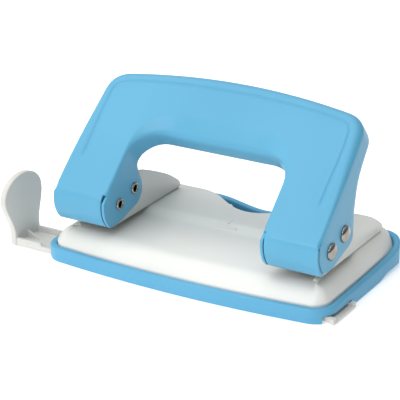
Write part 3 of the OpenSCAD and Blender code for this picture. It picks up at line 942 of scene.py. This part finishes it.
def makePlate():
    middleY = plate["stepY"]
    edges = bowedOutline(plate["inset"])
    drawnIn = 5
    inner = bowedOutline(plate["inset"] + drawnIn)

    def notchShare(x, ny):
        atNotch = ny > 0.9 and abs(x) < plate["notchHalf"]
        return (1 + math.cos(math.pi * x / plate["notchHalf"])) / 2 if atNotch else 0

    def ring(share, inwards, height):
        # height runs up the skirt, share over the shoulder, inwards on to the middle line
        places = []
        for (x, y, nx, ny), (innerX, innerY, _, _) in zip(edges, inner):
            front, side, rear = max(0.0, -ny)**2, nx**2, max(0.0, ny)**2
            notch = notchShare(x, ny)
            rearHeight = mix(plate["rearEdge"][0], plate["notchEdge"][0], notch)
            rearWidth = mix(plate["rearEdge"][1], plate["notchEdge"][1], notch)
            edge = front * plate["frontEdge"][0] + side * plate["sideEdge"][0] + rear * rearHeight
            width = front * plate["frontEdge"][1] + side * plate["sideEdge"][1] + rear * rearWidth
            px = x + (innerX - x) * share * width / drawnIn
            py = y + (innerY - y) * share * width / drawnIn - plate["notchDepth"] * notch
            px = mix(px, max(-legX, min(legX, x)), inwards)
            py = mix(py, middleY, inwards)
            top = mix(plate["frontTop"], plate["rearTop"],
                      smoothStep(middleY - plate["stepHalf"], middleY + plate["stepHalf"], py))
            crown = 1 - (1 - share)**plate["crownPower"]
            low = mix(plate["skirtLow"], plate["notchEdge"][0] - 0.6, min(1.0, 1.6 * notch))
            pz = mix(edge, top, crown) if share > 0 else mix(low, edge, height)
            places.append((px, py, pz))
        return places

    rings = [ring(0, 0, height) for height in (0, 0.35, 0.7, 1)]
    rings += [ring(share, 0, 1) for share in (0.03, 0.08, 0.15, 0.24, 0.35, 0.48, 0.62, 0.78, 0.9, 1)]
    rings += [ring(1, inwards, 1) for inwards in (0.05, 0.12, 0.22, 0.34, 0.46, 0.58, 0.69, 0.78, 0.85,
                                                  0.9, 0.935, 0.96, 0.975, 0.986, 0.994)]
    sheet = ringStack(rings, openStart=True)
    applyModifier(sheet, "TRIANGULATE", min_vertices=5)
    turnUpwards(sheet)
    applyModifier(sheet, "SOLIDIFY", thickness=plate["sheet"], offset=-1)
    drills = []
    for side in (-1, 1):
        drills.append(drillAt(side * legX, pinY, plate["holeRadius"], 9, 20))
        drills.extend(drillAt(side * legX, y, plate["rivetHole"], 9, 20) for y in bracketRivetYs)
    cutAway(sheet, joinPieces(drills), crossesItself=True)
    # Centre mark: a short bar pressed into the step, and a tick behind it
    barTop = mix(plate["frontTop"], plate["rearTop"], 0.5)
    half = plate["markHalf"]
    mark = newBox((-half, middleY - 0.75, barTop - 0.5), (half, middleY + 0.15, barTop + 0.28))
    breakEdges(mark, 0.2, segments=3, sharperThan=30)
    tick = newBox((-0.3, middleY + 1, plate["rearTop"] - 0.2),
                  (0.3, middleY + 4.6, plate["rearTop"] + 0.1))
    breakEdges(tick, 0.09, sharperThan=30)
    sheet = joinPieces([sheet, mark, tick])
    print("plate:", len(sheet.data.polygons), "faces")
    return finishPiece(sheet, "pressed_plate", "base", finishes["whitePlateEnamel"],
                       ["base_plate"], smoothAngle=40)


makePlate()

bracket = {
    "width": 17.2,
    "sheet": 1.0,
    "foldRadius": 1.3,           # on the outside of the two bends
    "frontY": -24.0,
    "floorFrontY": -20.3,
    "rearY": 22.6,
    "slotHalf": 1.9,
    "pivotHole": 1.7,
    "edgeRound": 0.12,
}
# Top edge of a bracket's walls, along Y
bracketTop = [(-20.5, 28.4), (-14, 28.6), (-3, 27.8), (1.9, 26.2), (8.8, 23.3), (15.4, 20.1), (21.5, 16.2)]
driveDrop = 4.72                 # how far the drive rivet comes down


def makeBracket(side, name, node):
    low = plate["rearTop"]
    half, sheet, bend = bracket["width"] / 2, bracket["sheet"], bracket["foldRadius"]
    turns = [math.radians(90 * i / 6) for i in range(7)]
    # Channel section, folded from one strip
    outer = [(half - bend + bend * math.cos(t), low + bend - bend * math.sin(t)) for t in turns]
    inner = [(half - bend + (bend - sheet) * math.cos(t), low + bend - (bend - sheet) * math.sin(t))
             for t in turns]
    right = [(half, 31)] + outer
    rightInner = [(half - sheet, 31)] + inner
    section = (right + [(-x, z) for x, z in reversed(right)] + [(-x, z) for x, z in rightInner]
               + list(reversed(rightInner)))
    channel = prism([(side * legX + x, z) for x, z in section], -27, 26, "Y")
    # Side shape that both walls are blanked to
    front = [(bracket["floorFrontY"], low - 1), (bracket["floorFrontY"], low), (bracket["frontY"], low + 6),
             (bracket["frontY"], 25.2), (-23.7, 26.1), (-23.2, 26.9), (-22.4, 27.6), (-21.5, 28.1)]
    crestYs = [mix(-20.5, 21.5, i / 28) for i in range(29)]
    crest = [(y, alongCurve(bracketTop, y)) for y in crestYs]
    nose = [(22.3, 15.5), (22.8, 14.7), (23, 13.8), (bracket["rearY"], low), (bracket["rearY"], low - 1)]
    shape = prism(front + crest + nose, side * legX - 12, side * legX + 12, "X")
    cutAway(channel, shape, "INTERSECT")
    breakEdges(channel, bracket["edgeRound"])
    y, z = pivotYZ
    reach = 12
    cutAway(channel, newRod((side * legX - reach, y, z), (side * legX + reach, y, z), bracket["pivotHole"]))
    # Upright slots for the drive rivet
    y, z = pinY, driveYZ[1]
    slot = bracket["slotHalf"]
    arcs = []
    for start, endZ in ((0, z), (180, z - driveDrop)):
        for degrees in range(start, start + 181, 12):
            turn = math.radians(degrees)
            arcs.append((y + slot * math.cos(turn), endZ + slot * math.sin(turn)))
    cutAway(channel, prism(arcs, side * legX - reach, side * legX + reach, "X"))
    cutAway(channel, drillAt(side * legX, pinY, plate["holeRadius"], 10, 16))
    for y in bracketRivetYs:
        cutAway(channel, drillAt(side * legX, y, plate["rivetHole"], 10, 16))
    # Slivers that the cuts leave are merged away
    applyModifier(channel, "WELD", merge_threshold=0.002)
    applyModifier(channel, "TRIANGULATE", min_vertices=5)
    turnOutwards(channel)
    return finishPiece(channel, name, "base", finishes["whiteBracketEnamel"], [node])


for side, word in ((-1, "left"), (1, "right")):
    makeBracket(side, word + "_folded_bracket", word + "_bracket")
print("brackets are folded")

rivet = {
    "legInner": 29.7,            # the leg's inner face
    "legWidth": 20.6,
    "shank": 1.65,
    "headRadius": 2.9,
    "headHeight": 1.5,
    "headEdge": 0.22,            # straight edge under the dome
    "boreRadius": 1.2,
    "boreDepth": 4.0,
}


def makeHandleRivet(side, place, name, node):
    r, head, top = rivet["shank"], rivet["headRadius"], rivet["legWidth"]
    # From the bottom of the bore, round the rolled end and along the shank to the head
    bore = [(rivet["boreRadius"], rivet["boreDepth"]), (rivet["boreRadius"], -0.34)]
    rolledEnd = [(1.28, -0.55), (1.45, -0.67), (1.66, -0.7), (1.88, -0.64), (2.04, -0.48), (2.1, -0.28),
                 (2.04, -0.1), (1.9, 0)]
    headEdge = [(head - 0.16, top), (head - 0.04, top + 0.05), (head, top + 0.14)]
    profile = bore + rolledEnd + [(r, 0), (r, top)] + headEdge
    dome = rivet["headHeight"] - rivet["headEdge"]
    for i in range(12):
        turn = math.radians(84 * i / 11)
        profile.append((head * math.cos(turn), top + rivet["headEdge"] + dome * math.sin(turn)))
    piece = turnedPiece(profile, (side * rivet["legInner"], place[0], place[1]), (side, 0, 0))
    finishPiece(piece, name, "handle", finishes["brightNickel"], [node], smoothAngle=45)
    # Inside of the bore: painted shade, a near-black finish standing in for the shade deep in the hole
    piece.data.materials.append(finishes["boreShadePaint"])
    for face in piece.data.polygons:
        x, y, z = face.center / metresPerMm
        out = math.hypot(y - place[0], z - place[1])
        if out < rivet["boreRadius"] + 0.01 and abs(x) < rivet["legInner"] + 10:
            face.material_index = 1
    return piece


def makeBracketRivets(side, name, node):
    low, top = plate["rearTop"] - plate["sheet"], plate["rearTop"] + bracket["sheet"]
    profile = [(0.4, low - 0.8), (2.1, low - 0.8), (2.38, low - 0.72), (2.5, low - 0.5), (2.5, low),
               (1.6, low), (1.6, top), (2.85, top), (2.97, top + 0.05), (3.0, top + 0.14)]
    for i in range(10):
        turn = math.radians(84 * i / 9)
        profile.append((3 * math.cos(turn), top + 0.16 + 1.04 * math.sin(turn)))
    pair = [turnedPiece(profile, (side * legX, y, 0), (0, 0, 1), sides=40) for y in bracketRivetYs]
    return finishPiece(joinPieces(pair), name, "base", finishes["brightNickel"], [node],
                       smoothAngle=45)


for side, word in ((-1, "left"), (1, "right")):
    makeHandleRivet(side, pivotYZ, word + "_domed_pivot_rivet", word + "_pivot_rivet")
    makeHandleRivet(side, driveYZ, word + "_domed_drive_rivet", word + "_drive_rivet")
    makeBracketRivets(side, word + "_domed_bracket_rivets", word + "_bracket_rivets")
print("rivets are headed")


def softenCopy(node, name, body, material, width):
    # A turned or stamped small part: the CAD shape with its sharp edges broken
    piece = copyOfNode(node)
    breakEdges(piece, width, sharperThan=50)
    return finishPiece(piece, name, body, material, [node], smoothAngle=30)


# node, new name, slot, finish, rounding of its edges
smallParts = [
    ("_punch_pin", "_ground_pin", "pin_steel", "groundPinSteel", 0.1),
    ("_spring_washer", "_stamped_washer", "pin_steel", "groundPinSteel", 0.08),
    ("_retaining_clip", "_stamped_clip", "spring_steel", "drawnSpringSteel", 0.08),
]
for word in ("left", "right"):
    for node, name, slot, finish, width in smallParts:
        softenCopy(word + node, word + name, word + "_pin", finishes[finish], width)
print("pins, washers and clips are ready")

spring = {
    "wireRadius": 0.25,
    "coilRadius": 4.1,
    "turns": 3.5,
    "stepsPerTurn": 40,
    "squashedShare": 0.284,
}
springLow, springHigh = boxInMm("right_spring")


def makeSpring(side, word):
    startClean()
    wire, turns = spring["wireRadius"], spring["turns"]
    bpy.ops.mesh.primitive_circle_add(vertices=14, radius=wire, fill_type="NOTHING",
                                      location=(spring["coilRadius"], 0, 0), rotation=(math.pi / 2, 0, 0))
    coil = bpy.context.object
    bpy.ops.object.transform_apply(location=True, rotation=True, scale=True)
    height = springHigh.z - springLow.z - 2 * wire
    steps = int(turns * spring["stepsPerTurn"])
    applyModifier(coil, "SCREW", axis="Z", angle=math.tau * turns, screw_offset=height, steps=steps,
                  render_steps=steps, use_merge_vertices=False, use_smooth_shade=True)
    onWholeMesh(coil, (bpy.ops.mesh.fill_holes, {"sides": 0}))
    turnOutwards(coil)
    coil.location = (side * legX, pinY, springLow.z + wire)
    bpy.ops.object.transform_apply(location=True, rotation=True, scale=True)
    piece = finishPiece(coil, word + "_wound_spring", "base", finishes["drawnSpringSteel"],
                        [word + "_spring"])
    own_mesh(piece)
    return piece


for side, word in ((-1, "left"), (1, "right")):
    makeSpring(side, word)
print("springs are wound")

guide = {
    "floor": 0.9,
    "wall": 1.2,
    "wallHeight": 3.4,           # outside the tray
    "lowWallHeight": 2.3,        # under the tray
    "paddle": 2.3,               # thickness
    "neck": 0.4,                 # how much wider than the bar the paddle starts
    "widening": 3.6,
    "shift": 1.6,                # of the paddle's middle, towards the front
    "wideHeight": 18,
    "edgeRound": 0.45,           # on the paddle
    "barRound": 0.15,
}


def makeGuide():
    low, outer, inner = guideLow.z, guideLow.x + guide["paddle"], guideHigh.x
    front, rear = barMiddle - barHalf, barMiddle + barHalf
    wallEnd = -tray["halfWidth"]

    # Paddle: a straight neck that widens to a round top
    def paddleSide(z):
        rise = min(1.0, max(0.0, (z - 5) / 13))
        half = barHalf + guide["neck"] + guide["widening"] * smoothStep(0, 1, rise)
        return barMiddle - guide["shift"] * rise, half

    heights = [mix(low, guide["wideHeight"], i / 20) for i in range(21)]
    middle, half = paddleSide(guide["wideHeight"])
    crown = [(middle + half * math.cos(math.radians(a)),
              guide["wideHeight"] + (guideHigh.z - guide["wideHeight"]) * math.sin(math.radians(a)))
             for a in range(6, 175, 6)]
    rearSide = [(sum(paddleSide(z)), z) for z in heights]
    frontSide = [(paddleSide(z)[0] - paddleSide(z)[1], z) for z in reversed(heights)]
    outline = rearSide + crown + frontSide
    paddle = prism(outline, outer - guide["paddle"], outer, "X")
    breakEdges(paddle, guide["edgeRound"], segments=4)

    bar = newBox((outer - 0.5, front, low), (inner, rear, low + guide["floor"]))
    breakEdges(bar, guide["barRound"], sharperThan=30)
    profile = [(outer - 0.5, low), (outer - 0.5, guide["wallHeight"]), (wallEnd - 3.6, guide["wallHeight"]),
               (wallEnd - 2.7, guide["lowWallHeight"]), (inner - 1.5, guide["lowWallHeight"]),
               (inner - 1.5, low)]
    for y in (front, rear - guide["wall"]):
        wall = prism(profile, y, y + guide["wall"], "Y")
        breakEdges(wall, guide["barRound"], sharperThan=50)
        cutAway(bar, wall, "UNION")
    gusset = [(outer - 0.5, low + 0.4), (outer - 0.5, 4.0), (outer + 6, 1.5), (outer + 6, low + 0.4)]
    cutAway(bar, prism(gusset, barMiddle - 0.6, barMiddle + 0.6, "Y"), "UNION")
    for y in (front - 0.2, rear + 0.2):
        cutAway(bar, newBox((inner - 1.6, y - 1, low), (inner - 0.2, y + 1, low + 1.8)), "UNION")
    cutAway(bar, paddle, "UNION")
    turnOutwards(bar)
    print("guide:", len(bar.data.polygons), "faces")
    return finishPiece(bar, "moulded_guide", "guide", finishes["ivoryGuidePlastic"],
                       ["guide_bar"])


makeGuide()
